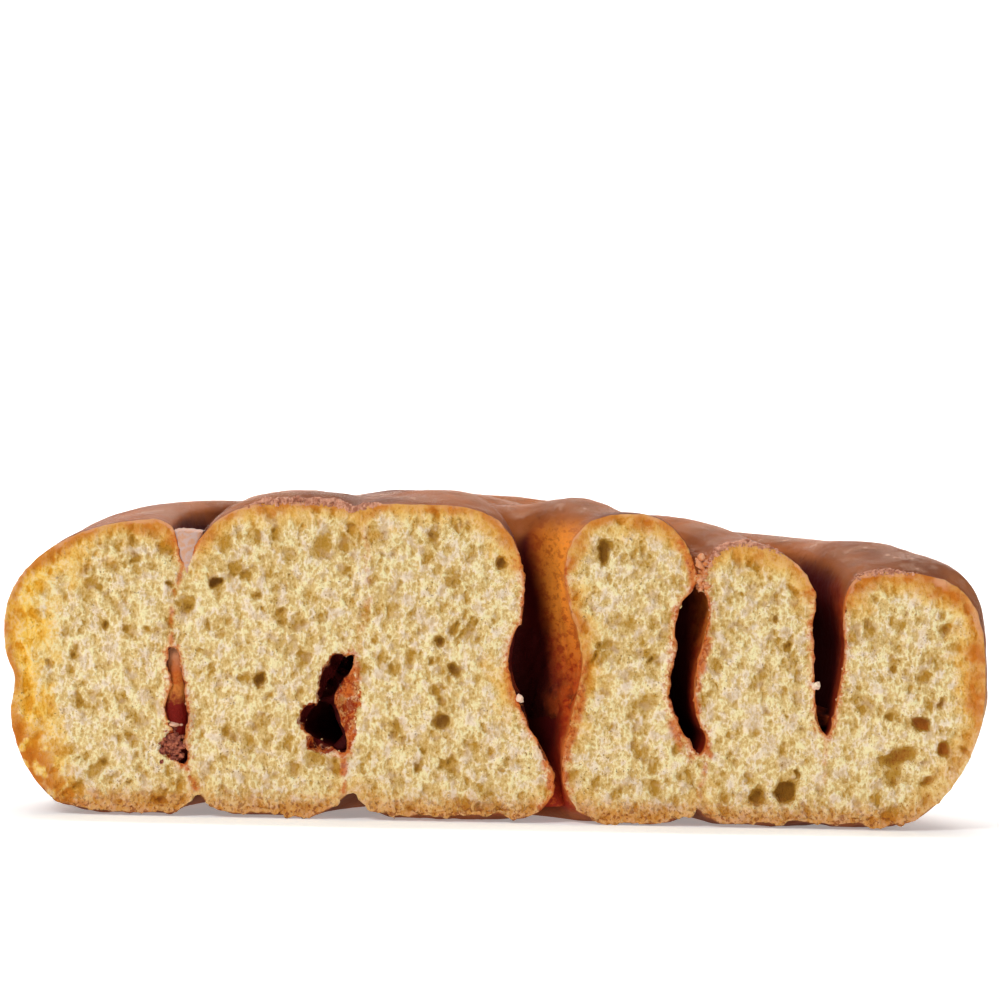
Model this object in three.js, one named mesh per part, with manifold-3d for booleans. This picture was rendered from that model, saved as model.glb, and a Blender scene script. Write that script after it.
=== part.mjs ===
// Half of a coiled cinnamon doughnut: a strip of yeast dough wound round an eye, fried and cut in two.
// Units are millimetres, +Z is up, the cut face looks towards -Y and the dough rests on Z = 0.
import * as THREE from "three";
import { ParametricGeometry } from "three/addons/geometries/ParametricGeometry.js";
import { mergeVertices } from "three/addons/utils/BufferGeometryUtils.js";
import Module from "manifold-3d";

const wasm = await Module();
wasm.setup();

// Driving sizes of the coil.
const SECTION_POINTS = 46; // points round a lobe of dough
const QUARTER_POINTS = 60; // points on a quarter of its outline, before they are spaced evenly
const OVERRUN = 0.07; // radians that each half-turn runs past the cut before the knife trims it
const LEAN = 0.027; // the whole coil leans this far towards -X for each millimetre of height
const EYE_SLIT = 8; // how much further the eye reaches back than it is wide
const EYE_SLIT_AT = 1.25; // angle at which it reaches furthest, near its left side
const EYE_SLIT_SPREAD = 0.42; // half-width of that slit, as an angle
const EYE_LEAN = 1.6; // the eye's foot leans this far towards +X
const EYE_LEAN_FROM = 4; // height up to which the lean is full
const EYE_LEAN_TO = 15; // height at which it has died out
const EYE_REACH = 15; // distance from the eye at which it has died out
const SWELL = 0.9; // slow rise and fall of the fried crust along a turn
const SWELL_ASIDE = 0.55; // the same, sideways
const SWELL_WAVES = 5; // half-waves of it round the back
const LIFT_FROM = 8; // height from which the crust rises and swells
const LIFT_TO = 30; // height at which it does so in full

// Cinnamon layer between the turns.
const LAYER = 0.9; // thickness
const CLEARANCE = 0.3; // air left between the layer and the dough
const LAYER_ROWS = 9; // points up one face of the layer

// The knife's block, which stands in front of the cut.
const KNIFE = { wide: 200, deep: 60, high: 120, below: 30 };

// Each lobe is what the knife shows where a half-turn meets the cut. Radii are measured from the eye.
// inner, outer: the sides. crown: top. peak, sole: radius of the highest and of the lowest point.
// belly: height of the widest point. round: squareness of the four quarters, 2 is an ellipse.
// A dent is { at, depth, spread } on one side; a negative depth is a bulge.
const FOOT = -0.5; // the lobes sag this far below the plane that they rest on, which flattens their soles
const LOBES = {
  outerLeft: {
    inner: 44.2, outer: 65.8, crown: 36, peak: 46.4, sole: 50, belly: 23,
    round: { outerTop: 2, innerTop: 2.6, innerFoot: 5, outerFoot: 2.9 },
    outerDents: [{ at: 16, depth: 1.3, spread: 2.4 }],
    innerDents: [{ at: 13, depth: 2.3, spread: 3.8 }, { at: 4, depth: -2.2, spread: 5 }],
  },
  middleLeft: {
    inner: 21.6, outer: 45.2, crown: 38.4, peak: 31.1, sole: 33.6, belly: 20,
    round: { outerTop: 2.6, innerTop: 7, innerFoot: 5, outerFoot: 4 },
    outerDents: [{ at: 13, depth: 1.3, spread: 4.5 }, { at: 3, depth: 1.2, spread: 4 }],
    innerDents: [
      { at: 17.2, depth: 5.8, spread: 3.2 },
      { at: 11.2, depth: 8.2, spread: 3.1 },
      { at: 1, depth: 2.5, spread: 3 },
    ],
  },
  innerLeft: {
    inner: 2.6, outer: 24.6, crown: 38.6, peak: 14.1, sole: 11.7, belly: 25,
    round: { outerTop: 7, innerTop: 3.2, innerFoot: 4, outerFoot: 5 },
    outerDents: [{ at: 20, depth: 2, spread: 1.8 }, { at: 14.5, depth: -1.6, spread: 3 }],
    innerDents: [{ at: 19.5, depth: 2, spread: 4 }, { at: 4, depth: -3.6, spread: 6 }],
  },
  innerRight: {
    inner: 2, outer: 18.8, crown: 38, peak: 11.4, sole: 11.4, belly: 27,
    round: { outerTop: 2.2, innerTop: 3, innerFoot: 5, outerFoot: 5 },
    outerDents: [
      { at: 24.8, depth: 4.4, spread: 3 },
      { at: 16.5, depth: 3.6, spread: 5.5 },
      { at: 4, depth: -0.8, spread: 4 },
    ],
    innerDents: [{ at: 20, depth: 2.2, spread: 7 }, { at: 5, depth: -1.9, spread: 5 }],
  },
  middleRight: {
    inner: 18.3, outer: 34, crown: 34.8, peak: 24.2, sole: 26, belly: 26,
    round: { outerTop: 2, innerTop: 2.2, innerFoot: 6, outerFoot: 8 },
    outerDents: [{ at: 21.5, depth: 1.7, spread: 6 }, { at: 4, depth: -2.4, spread: 5 }],
    innerDents: [
      { at: 26.5, depth: 1.9, spread: 3 },
      { at: 10.5, depth: 1.6, spread: 2 },
      { at: 4, depth: -0.4, spread: 3 },
    ],
  },
  outerRight: {
    inner: 35.6, outer: 54.1, crown: 31.6, peak: 41.2, sole: 39.4, belly: 17.5,
    round: { outerTop: 3.4, innerTop: 3.3, innerFoot: 8, outerFoot: 1.9 },
    outerDents: [],
    innerDents: [{ at: 22, depth: 1.1, spread: 5 }, { at: 4, depth: -3.4, spread: 5.5 }],
  },
};

// The half-turns, from the rim to the eye. Each runs round the back from its left lobe to its right one.
// rise: how much higher the crust stands at the back. phase: where its slow swell starts.
const TURNS = {
  outer: { left: LOBES.outerLeft, right: LOBES.outerRight, steps: 34, rise: 3.5, phase: 0.4 },
  middle: { left: LOBES.middleLeft, right: LOBES.middleRight, steps: 24, rise: 1.5, phase: 2.1 },
  inner: { left: LOBES.innerLeft, right: LOBES.innerRight, steps: 22, rise: 0.5, phase: 4.4, eye: true },
};

// Cinnamon lies against one wall of a half-turn, between heights that change from the left lobe to the right.
const LAYERS = {
  cinnamon_outer_seam: { turn: "middle", wall: "outer", low: [6.5, 12.5], high: [20.5, 26], steps: 26 },
  cinnamon_inner_seam: { turn: "inner", wall: "outer", low: [8.5, 11], high: [18.5, 25], steps: 22 },
  cinnamon_eye: { turn: "inner", wall: "inner", low: [11, 11], high: [24, 25], steps: 22 },
};

// The largest bubbles that the knife opened: place from the eye before the lean, size, depth and slant.
const BUBBLES = [
  { x: 7.2, z: 33.3, wide: 1.3, high: 2.4, deep: 1, slant: 0 },
  { x: -40.1, z: 28.5, wide: 1.9, high: 1.5, deep: 1, slant: -0.4 },
  { x: -12.8, z: 12.1, wide: 1.6, high: 1.5, deep: 0.9, slant: 0.3 },
  { x: 43.2, z: 9, wide: 5.4, high: 2, deep: 0.9, slant: 0.28 },
  { x: 29.4, z: 4.4, wide: 2.5, high: 2.7, deep: 1.2, slant: 0.2 },
  { x: 25.8, z: 3.7, wide: 2, high: 2.1, deep: 0.8, slant: 0 },
  { x: 46.1, z: 13.2, wide: 2.2, high: 1.6, deep: 0.9, slant: 0.2 },
  { x: 48.9, z: 10, wide: 1.9, high: 1.9, deep: 0.8, slant: 0 },
  { x: -27.1, z: 33.2, wide: 3, high: 3.8, deep: 0.5, slant: 0.2 },
];

const FINISHES = {
  dough: { color: 0xd9a352, roughness: 0.75, metalness: 0 },
  cinnamon: { color: 0x5a2411, roughness: 0.8, metalness: 0 },
};

const smooth = (t) => t * t * (3 - 2 * t);
const ramp = (low, high, x) => smooth(THREE.MathUtils.clamp((x - low) / (high - low), 0, 1));
const dentAt = (dents, z) =>
  dents.reduce((sum, { at, depth, spread }) => sum + depth * Math.exp(-(((z - at) / spread) ** 2)), 0);

// One quarter of a lobe as a superellipse from its side at the belly to its crown or sole.
function quarter(side, middle, belly, end, power, angle) {
  const along = Math.cos(angle) ** (2 / power);
  const up = Math.sin(angle) ** (2 / power);
  return new THREE.Vector2(middle + (side - middle) * along, belly + (end - belly) * up);
}

// A lobe's outline, anticlockwise from its sole: up the outer side, over the crown and down the inner side.
function lobeOutline(lobe) {
  const { inner, outer, crown, peak, sole, belly, round } = lobe;
  const points = [];
  for (let i = 0; i < 4 * QUARTER_POINTS; i++) {
    const turn = Math.floor(i / QUARTER_POINTS);
    const angle = ((i % QUARTER_POINTS) / QUARTER_POINTS) * (Math.PI / 2);
    const back = Math.PI / 2 - angle;
    const p = [
      () => quarter(outer, sole, belly, FOOT, round.outerFoot, back),
      () => quarter(outer, peak, belly, crown, round.outerTop, angle),
      () => quarter(inner, peak, belly, crown, round.innerTop, back),
      () => quarter(inner, sole, belly, FOOT, round.innerFoot, angle),
    ][turn]();
    p.x += turn < 2 ? -dentAt(lobe.outerDents, p.y) : dentAt(lobe.innerDents, p.y);
    p.y = Math.max(p.y, 0);
    points.push(p);
  }
  const evenly = new THREE.CatmullRomCurve3(
    points.map((p) => new THREE.Vector3(p.x, p.y, 0)), true, "catmullrom", 0.5,
  ).getSpacedPoints(SECTION_POINTS);
  return evenly.slice(0, SECTION_POINTS).map((p) => new THREE.Vector2(p.x, Math.max(p.y, 0)));
}

for (const turn of Object.values(TURNS)) {
  turn.leftOutline = lobeOutline(turn.left);
  turn.rightOutline = lobeOutline(turn.right);
}

// The section of a half-turn at an angle from the left of the cut (0) round the back to its right (pi).
function sectionAt(turn, angle) {
  const share = smooth(THREE.MathUtils.clamp(angle / Math.PI, 0, 1));
  const away = Math.sin(THREE.MathUtils.clamp(angle, 0, Math.PI));
  const slit = EYE_SLIT * Math.exp(-(((angle - EYE_SLIT_AT) / EYE_SLIT_SPREAD) ** 2));
  const inner = THREE.MathUtils.lerp(turn.left.inner, turn.right.inner, share);
  const outer = THREE.MathUtils.lerp(turn.left.outer, turn.right.outer, share);
  return turn.leftOutline.map((left, i) => {
    const p = left.clone().lerp(turn.rightOutline[i], share);
    if (turn.eye) p.x += slit * ((outer - p.x) / (outer - inner));
    const wave = away * Math.sin(SWELL_WAVES * angle + turn.phase);
    const lift = ramp(LIFT_FROM, LIFT_TO, p.y) * (SWELL * wave + turn.rise * away);
    return new THREE.Vector2(p.x + SWELL_ASIDE * wave, p.y + lift);
  });
}

// A point of a section, set round the eye.
function placed(target, p, angle) {
  const lean = EYE_LEAN * (1 - ramp(EYE_LEAN_FROM, EYE_LEAN_TO, p.y)) * Math.max(0, 1 - p.x / EYE_REACH);
  target.set(lean - LEAN * p.y - p.x * Math.cos(angle), p.x * Math.sin(angle), p.y);
}

// A closed skin round a row of outlines, all with the same number of points, shut by a fan at each end.
function skin(outlines, angles) {
  const points = outlines[0].length;
  const middles = outlines.map((outline) =>
    outline.reduce((sum, p) => sum.add(p), new THREE.Vector2()).divideScalar(points));
  const rows = outlines.length + 2;
  return new ParametricGeometry((u, v, target) => {
    const row = Math.round(v * (rows - 1));
    const step = THREE.MathUtils.clamp(row - 1, 0, outlines.length - 1);
    const end = row === 0 || row === rows - 1;
    const p = end ? middles[step] : outlines[step][Math.round(u * points) % points];
    placed(target, p, angles[step]);
  }, points, rows - 1);
}

// A manifold solid from a three.js geometry, without the triangles that its merged vertices shrink to a line.
function solidOf(geometry) {
  geometry.deleteAttribute("normal");
  geometry.deleteAttribute("uv");
  const merged = mergeVertices(geometry, 1e-4);
  const index = merged.index.array;
  const kept = [];
  for (let i = 0; i < index.length; i += 3) {
    const [a, b, c] = index.subarray(i, i + 3);
    if (a !== b && b !== c && a !== c) kept.push(a, b, c);
  }
  const mesh = new wasm.Mesh({
    numProp: 3, vertProperties: merged.attributes.position.array, triVerts: new Uint32Array(kept),
  });
  return new wasm.Manifold(mesh);
}

// A three.js mesh from a manifold solid.
function meshOf(solid, name, finish) {
  const { vertProperties, triVerts } = solid.getMesh();
  const geometry = new THREE.BufferGeometry();
  geometry.setAttribute("position", new THREE.BufferAttribute(vertProperties, 3));
  geometry.setIndex(new THREE.BufferAttribute(triVerts, 1));
  geometry.computeVertexNormals();
  const mesh = new THREE.Mesh(geometry, new THREE.MeshStandardMaterial(finish));
  mesh.name = name;
  return mesh;
}

// The angles at which a skin has its outlines, past the cut at both ends.
const anglesOf = (steps) =>
  Array.from({ length: steps + 1 }, (_, i) => -OVERRUN + (Math.PI + 2 * OVERRUN) * (i / steps));

function halfTurn(turn) {
  const angles = anglesOf(turn.steps);
  return solidOf(skin(angles.map((angle) => sectionAt(turn, angle)), angles));
}

// Radius of a wall of a section at a height: the first half of the outline is its outer side.
function wallAt(section, wall, z) {
  const half = section.length / 2;
  const outerSide = section.slice(0, half + 1);
  const innerSide = [...section.slice(half - 1), section[0]].reverse();
  const side = wall === "outer" ? outerSide : innerSide;
  for (let i = 1; i < side.length; i++) {
    if (side[i].y >= z && side[i - 1].y < z)
      return THREE.MathUtils.mapLinear(z, side[i - 1].y, side[i].y, side[i - 1].x, side[i].x);
  }
  return side[half - 1].x;
}

// A sheet of cinnamon against its wall, larger all round by grow.
function cinnamonSheet({ turn, wall, low, high, steps }, grow) {
  const angles = anglesOf(steps);
  const outwards = wall === "outer" ? 1 : -1;
  const outlines = angles.map((angle) => {
    const share = smooth(THREE.MathUtils.clamp(angle / Math.PI, 0, 1));
    const section = sectionAt(TURNS[turn], angle);
    const foot = THREE.MathUtils.lerp(low[0], low[1], share) - grow;
    const top = THREE.MathUtils.lerp(high[0], high[1], share) + grow;
    const rise = (top - foot) / (LAYER_ROWS - 1);
    const heights = Array.from({ length: LAYER_ROWS }, (_, i) => foot + rise * i);
    const face = (off) => heights.map((z) => new THREE.Vector2(wallAt(section, wall, z) + outwards * off, z));
    const back = face(-grow);
    const front = face(LAYER + grow);
    return outwards > 0 ? [...front, ...back.reverse()] : [...back, ...front.reverse()];
  });
  return solidOf(skin(outlines, angles));
}

// The knife takes away everything in front of the cut.
function knife() {
  const block = new THREE.BoxGeometry(KNIFE.wide, KNIFE.deep, KNIFE.high);
  block.translate(0, -KNIFE.deep / 2, KNIFE.high / 2 - KNIFE.below);
  return solidOf(block);
}

// A bubble: an ellipsoid with its middle on the cut.
function bubble({ x, z, wide, high, deep, slant }) {
  const ball = new THREE.SphereGeometry(1, 10, 6);
  ball.scale(wide / 2, deep, high / 2);
  ball.rotateY(-slant);
  ball.translate(x - LEAN * z, 0, z);
  return solidOf(ball);
}

function build() {
  const cut = knife();
  let dough = halfTurn(TURNS.outer).add(halfTurn(TURNS.middle)).add(halfTurn(TURNS.inner)).subtract(cut);
  const pieces = [];
  for (const [name, layer] of Object.entries(LAYERS)) {
    const sheet = cinnamonSheet(layer, 0).subtract(cut);
    dough = dough.subtract(cinnamonSheet(layer, CLEARANCE));
    pieces.push(meshOf(sheet, name, FINISHES.cinnamon));
  }
  for (const size of BUBBLES) dough = dough.subtract(bubble(size));
  pieces.unshift(meshOf(dough, "dough", FINISHES.dough));

  const half = new THREE.Group();
  half.add(...pieces);
  const box = new THREE.Box3().setFromObject(half);
  const middle = box.getCenter(new THREE.Vector3());
  half.position.set(-middle.x, -middle.y, -box.min.z);
  const doughnut = new THREE.Group();
  doughnut.add(half);
  return doughnut;
}

export default build();
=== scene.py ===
"""Half of a coiled cinnamon doughnut, cut upright through its eye, with crumb, crust, cinnamon and glaze."""

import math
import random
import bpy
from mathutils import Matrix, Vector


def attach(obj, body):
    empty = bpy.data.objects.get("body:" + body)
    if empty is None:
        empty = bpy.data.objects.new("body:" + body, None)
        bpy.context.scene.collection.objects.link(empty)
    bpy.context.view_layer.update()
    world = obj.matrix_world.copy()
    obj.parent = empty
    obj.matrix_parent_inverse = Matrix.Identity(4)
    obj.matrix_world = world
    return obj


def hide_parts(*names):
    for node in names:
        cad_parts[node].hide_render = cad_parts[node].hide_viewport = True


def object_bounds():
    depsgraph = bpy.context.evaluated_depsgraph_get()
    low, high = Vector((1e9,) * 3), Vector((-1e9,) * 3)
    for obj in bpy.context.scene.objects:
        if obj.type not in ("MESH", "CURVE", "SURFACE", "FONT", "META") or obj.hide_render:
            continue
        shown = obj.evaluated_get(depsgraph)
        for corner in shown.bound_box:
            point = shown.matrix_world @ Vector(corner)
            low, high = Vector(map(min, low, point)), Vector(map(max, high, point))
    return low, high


bl_info = {
    "name": "Coiled Doughnut Half",
    "version": (1, 0, 0),
    "blender": (4, 5, 0),
    "location": "3D Viewport > Sidebar > Doughnut",
    "description": "Builds the crumb, crust, cinnamon, glaze and loose crumbs of a cut coiled doughnut",
    "category": "Object",
}

import bmesh
import bpy
import numpy as np
from bpy.props import FloatProperty, FloatVectorProperty, IntProperty, PointerProperty
from mathutils import Euler, Matrix, Vector, noise
from mathutils.bvhtree import BVHTree
from mathutils.kdtree import KDTree

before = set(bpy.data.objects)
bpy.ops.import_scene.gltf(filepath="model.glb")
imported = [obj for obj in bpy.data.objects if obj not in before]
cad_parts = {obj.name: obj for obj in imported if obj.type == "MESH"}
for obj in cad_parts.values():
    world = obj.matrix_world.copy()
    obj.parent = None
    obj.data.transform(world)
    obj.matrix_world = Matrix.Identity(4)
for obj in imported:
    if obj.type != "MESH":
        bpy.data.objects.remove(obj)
CAD_LOW, CAD_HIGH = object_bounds()

MM = 0.001
CUT_Y = CAD_LOW.y  # the plane of the knife
EYE_X = CAD_LOW.x + 66.41 * MM  # the coil is wound round this line
LEAN = 0.027  # the coil leans this far towards -X for each millimetre of height
ON_CUT = 0.005 * MM  # how near to the knife's plane a point counts as on it
MERGE = 0.001 * MM
FLOOR_GAP = 2.0 * MM  # lumps that fill a gap end this far above the floor
JITTER = 0.28  # how far the cut's points lie off their grid, as a share of its step

# The photograph's frame: pixels to a millimetre on the cut, the eye's foot in it, and its roll.
PHOTO_SIDE = 1000
PIXELS_PER_MM = 8.225
EYE_FOOT_PX = (546.0, 825.2)
BASE_SLOPE = 0.027

# Bubbles that the knife opened, in millimetres from the eye before the lean:
# x, height, width, length, depth, and slant in radians.
LISTED_BUBBLES = (
    (7.2, 33.3, 1.8, 3.4, 1.2, 0.0),
    (-40.1, 28.5, 2.0, 1.5, 1.3, -0.5),
    (-12.7, 12.2, 2.3, 2.0, 1.1, 0.3),
    (43.2, 9.0, 5.6, 2.1, 0.9, -0.28),
    (29.5, 4.4, 2.7, 2.9, 1.4, 0.2),
    (25.9, 3.8, 2.2, 2.4, 1.0, 0.0),
    (46.1, 13.2, 2.4, 1.8, 1.2, 0.2),
    (49.0, 10.1, 2.0, 2.1, 1.1, 0.0),
    (-27.1, 33.2, 3.0, 3.8, 0.55, 0.2),
    (-39.1, 33.4, 2.5, 3.0, 0.5, -0.2),
    (-12.8, 21.9, 1.3, 1.8, 1.0, -0.4),
    (-11.1, 18.5, 1.3, 2.2, 1.0, -0.6),
    (-14.0, 19.6, 1.0, 1.3, 0.7, 0.0),
    (-5.5, 31.7, 1.6, 1.7, 1.0, 0.0),
    (-34.8, 16.7, 1.4, 2.1, 1.1, 0.1),
    (-32.2, 23.8, 1.2, 1.1, 0.7, 0.0),
    (-34.9, 27.2, 1.2, 1.1, 0.7, 0.0),
    (-53.4, 23.1, 1.0, 1.5, 0.9, 0.2),
    (-45.8, 28.2, 1.1, 1.0, 0.9, 0.0),
    (28.2, 25.6, 1.2, 1.3, 0.8, 0.0),
    (29.7, 22.3, 1.2, 1.6, 0.9, 0.3),
    (42.3, 14.0, 1.0, 1.0, 0.7, 0.0),
    (48.6, 15.8, 1.1, 1.4, 0.8, 0.2),
    (-47.0, 2.0, 2.4, 0.9, 1.0, 0.1),
    (-15.6, 6.5, 0.9, 1.3, 0.8, 0.1),
    (6.6, 21.8, 0.9, 1.0, 0.8, 0.0),
    (12.9, 20.2, 0.8, 1.0, 0.9, 0.2),
    (31.0, 6.8, 0.8, 1.1, 0.8, 0.0),
    (46.8, 6.2, 2.2, 1.5, 0.8, -0.5),
)

# Hollows torn into the cut beside the gaps. Numbers as for the bubbles.
HOLLOWS = (
    (-24.2, 15.0, 3.2, 5.6, 1.0, 0.1),
    (-24.0, 10.6, 2.0, 4.6, 0.7, 0.2),
    (-26.4, 16.6, 2.6, 5.6, 3.4, 0.2),
    (-25.2, 18.9, 3.0, 2.4, 3.4, 0.4),
    (-28.4, 12.2, 3.2, 3.4, 3.4, 0.2),
    (-27.4, 9.2, 3.6, 2.2, 2.2, 0.2),
    (-45.5, 8.8, 2.9, 3.6, 0.7, 0.3),
)

# The foam's sizes of cell: width, height and greatest depth in millimetres, and the share of open cells.
FOAM = (
    (0.62, 0.95, 0.2, 0.9),
    (1.05, 1.6, 0.42, 0.5),
    (1.9, 2.6, 0.5, 0.25),
)

# Where the crumb's strands slant: x, height and reach in millimetres, and run for each unit of height.
SLANTS = ((-13.5, 26, 10, 0.4), (-60, 27, 8, -0.5), (-60, 9, 8, 0.5), (8, 12, 9, -0.3))

# Where the crust swells behind the cut: x, distance back, height, reach and swelling in millimetres.
SWELLINGS = ((50, 5, 30, 7, 1.5), (41, 13, 33, 8, 1.6), (57.5, 6, 17, 10, 1.0), (-53, 7, 30, 9, -1.0),
             (-30, 7, 38, 9, 1.0), (-14, 8, 38, 8, 0.7))

# Seams where the turns have fused, and stained crumb: strength, width, and a broken line on the cut.
# Places as for the bubbles.
SEAMS = (
    (0.6, 0.45, ((-43.9, 31.0), (-45.4, 26.5), (-45.6, 21.0))),
    (0.8, 0.5, ((-44.6, 7.6), (-42.6, 3.5))),
    (1.0, 0.8, ((-23.2, 18.0), (-23.9, 13.5), (-24.6, 8.2))),
    (0.35, 0.8, ((-23.0, 20.5), (-21.5, 27.0), (-22.0, 35.5))),
    (0.9, 1.0, ((-3.8, 16.3), (-1.9, 13.3), (0.1, 9.2), (1.1, 4.3))),
    (0.9, 0.9, ((4.4, 19.6), (4.1, 15.3), (2.9, 10.4), (2.0, 5.5))),
    (0.8, 0.8, ((19.0, 26.7), (19.8, 23.0), (18.4, 17.0), (17.9, 12.0), (19.9, 8.9))),
    (0.7, 0.9, ((15.6, 12.5), (17.6, 8.6))),
    (0.8, 0.5, ((-24.6, 7.2), (-24.8, 3.0))),
    (0.5, 0.5, ((20.0, 9.6), (18.8, 3.6))),
    (0.4, 0.5, ((34.4, 11.0), (34.2, 6.0))),
    (0.7, 0.7, ((16.4, 34.6), (17.8, 31.6), (18.4, 28.6))),
)

CINNAMON_NODES = ("cinnamon_outer_seam", "cinnamon_inner_seam", "cinnamon_eye")
SUGAR_LUMP = (-45.4, 8.7, 2.3, 3.2, 240)  # place, width, height and grains of the clot in the outer seam
SYRUP = (-45.2, 13.5, 5.0, 22.0, 0.35)  # place, width and height of the syrup above it, and how far back
# The eye's foot is stained dough, painted black towards its top as shade.
EYE_FOOT = (0.0, 3.0, 8.6, 9.0, 0.9, 6.0)  # stained dough at the eye's foot, likewise, and half its depth
SYRUP_SKIN = (-45.5, 11.1, 3.6, 1.1, 0.0)  # the pale skin between them, likewise
NOTCH_POOL = (-43.6, 32.5, 4.2, 8.4, -6.0, 8.0, 34.6)  # glaze in the notch, likewise, and its level

# Edges with dry flakes of glaze, in millimetres: from x, to x, lowest height, and how high the flakes stack.
FROSTED = ((-36.5, -20, 36.3, 0.7), (18.5, 29, 32, 0.45), (37.5, 45.5, 29, 0.35))
CLINGING = ((33.0, 17.6, 0.24), (-3.25, 15.2, 0.14))  # pale crumbs on the gaps' edges: place and spread
CLINGING_EACH = 11  # grains in each of them
BRIDGE = (19.2, 31.0, 1.2, 4.0, 46)  # crumbs torn across a gap: place, width, height and number

# The sizes of scattered lumps, least and greatest, in millimetres.
GRAIN_SIZES = (0.15, 0.4)
CRUMB_SIZES = (0.08, 0.26)
FLAKE_SIZES = (0.08, 0.22)
BRIDGE_SIZES = (0.25, 0.55)
CLINGING_SIZES = (0.2, 0.42)

# The studio's lights: name, place, aim, size in metres, and watts.
ON_FOOD = (0, 0, 0.02)
LIGHTS = (
    ("key", (-0.5, -0.7, 0.7), ON_FOOD, 0.4, 5.6),
    ("fill", (0.7, -0.8, 0.3), ON_FOOD, 0.6, 0.8),
    ("top", (0.0, 0.3, 1.1), ON_FOOD, 1.0, 3),
    ("backdrop", (0.0, 0.2, 0.9), (0, 1.4, 0.5), 0.8, 30),
)
WORLD_LIGHT = 0.2
SENSOR = 36  # the camera's sensor, in millimetres


def srgb(red, green, blue):
    """A colour given as 0 to 255, as Blender's linear numbers."""
    def linear(value):
        value /= 255
        return value / 12.92 if value <= 0.04045 else ((value + 0.055) / 1.055) ** 2.4
    return tuple(linear(v) for v in (red, green, blue))


def colour(label, about, *rgb):
    return FloatVectorProperty(name=label, description=about, subtype="COLOR", min=0, max=1,
                               default=srgb(*rgb))


def length(label, about, millimetres):
    return FloatProperty(name=label, description=about, subtype="DISTANCE", unit="LENGTH",
                         default=millimetres * MM)


def count(label, about, number):
    return IntProperty(name=label, description=about, default=number, min=0)


class CrumbSettings(bpy.types.PropertyGroup):
    """The open crumb on the cut."""
    step: length("Step", "Spacing of the points on the cut", 0.28)
    wall: colour("Walls", "Colour of the walls between bubbles", 228, 196, 132)
    pale: colour("Pale walls", "Colour of the palest walls", 255, 236, 206)
    green: colour("Greenish walls", "Colour of the greenish pale walls", 250, 234, 182)
    cool: colour("Cool walls", "Colour of the greyish walls", 218, 192, 170)
    # Pits and deep pits: the bubbles darken towards these with their depth, partly as painted shade.
    pit: colour("Pits", "Colour in the bubbles", 186, 138, 52)
    deep: colour("Deep pits", "Colour in the deepest bubbles", 128, 82, 22)


class CrustSettings(bpy.types.PropertyGroup):
    """The fried crust."""
    voxel: length("Voxel", "Size of the remesh of the crust", 0.5)
    triangles: count("Triangles", "Most triangles that the dough may have", 190000)
    wrinkle: length("Wrinkles", "Height of the crust's wrinkles", 0.3)
    edge: colour("Edge", "Colour of the crust's cut edge", 226, 164, 122)
    rim: colour("Rim", "Colour of the crust just under its edge", 204, 116, 32)
    gold: colour("Gold", "Tint of the oily crumb under the crust", 255, 218, 112)
    honey: colour("Honey", "Colour of oily walls between bubbles", 252, 202, 86)
    # Amber and fried: the bubbles near the crust, darkened with their depth partly as painted shade.
    amber: colour("Amber", "Colour in oily bubbles", 224, 152, 24)
    fried: colour("Fried", "Colour in the deep bubbles by the crust", 164, 88, 28)
    top: colour("Top", "Colour of the crust", 158, 86, 38)
    dark: colour("Dark", "Colour of the darkest crust", 108, 52, 24)
    toast: colour("Toast", "Colour of the lighter crust by the pale line", 186, 120, 60)
    belt: colour("Belt", "Colour of the pale line round the side", 226, 182, 118)
    # The real colour of torn, stained edges; the gaps' walls also lighten towards it by the cut as painted
    # light.
    torn_and_lit: colour("Torn edges", "Colour of the gaps' torn edges", 214, 122, 54)
    # Painted light: the gaps' walls take this bright colour towards the top, where light reaches in.
    glow: colour("Gap walls", "Colour of the gaps' walls near the top", 248, 148, 48)
    stain: colour("Stain", "Colour of the cinnamon stain in the gaps", 196, 82, 20)
    # A real cinnamon stain, which the gaps' walls also pass through on their way to black as painted shade.
    red: colour("Red stain", "Colour of the stain low in the gaps", 150, 38, 14)
    # Painted shade: deep in the gaps, in the deep hollows and at the top of the eye's foot.
    black: colour("Depth", "Colour deep in the gaps", 76, 11, 9)


class CinnamonSettings(bpy.types.PropertyGroup):
    """The cinnamon between the turns."""
    voxel: length("Voxel", "Size of the remesh of the cinnamon", 0.4)
    stand: length("Stand", "How far the cinnamon stands off the dough, and goes into it", 0.4)
    grain: length("Grain", "Height of the sugar's grains", 0.22)
    # Painted shade: the cinnamon darkens to this deep in the gaps; patches lower down also turn towards it.
    dark: colour("Dark", "Colour of the syrup in the depth", 58, 9, 5)
    syrup: colour("Syrup", "Colour of the syrup near the cut", 120, 18, 6)
    brown: colour("Brown", "Colour of the cinnamon", 196, 80, 18)
    sugar: colour("Sugar", "Colour of the sugar's grains", 212, 126, 54)
    clot: colour("Clot", "Colour of the clotted sugar", 186, 104, 74)
    clot_dark: colour("Dark clot", "Colour of the clot's syrup", 108, 36, 22)


class GlazeSettings(bpy.types.PropertyGroup):
    """The thin sugar glaze."""
    voxel: length("Voxel", "Size of the remesh of the glaze", 0.7)
    fill: length("Fill", "How far the glaze is drawn across grooves", 1.3)
    stand: length("Stand", "How far the glaze stands off the crust", 0.18)
    thick: length("Thickness", "Thickness of the glaze, partly in the crust", 0.6)
    film: colour("Film", "Colour of the glaze", 208, 152, 118)
    frost: colour("Frost", "Colour of the driest glaze", 242, 196, 172)
    pool: colour("Pool", "Colour of the glaze that has run together", 204, 170, 158)
    flake: colour("Flakes", "Colour of flakes of glaze", 228, 168, 138)
    flake_dark: colour("Dark flakes", "Colour of the darker flakes", 178, 110, 80)


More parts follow.
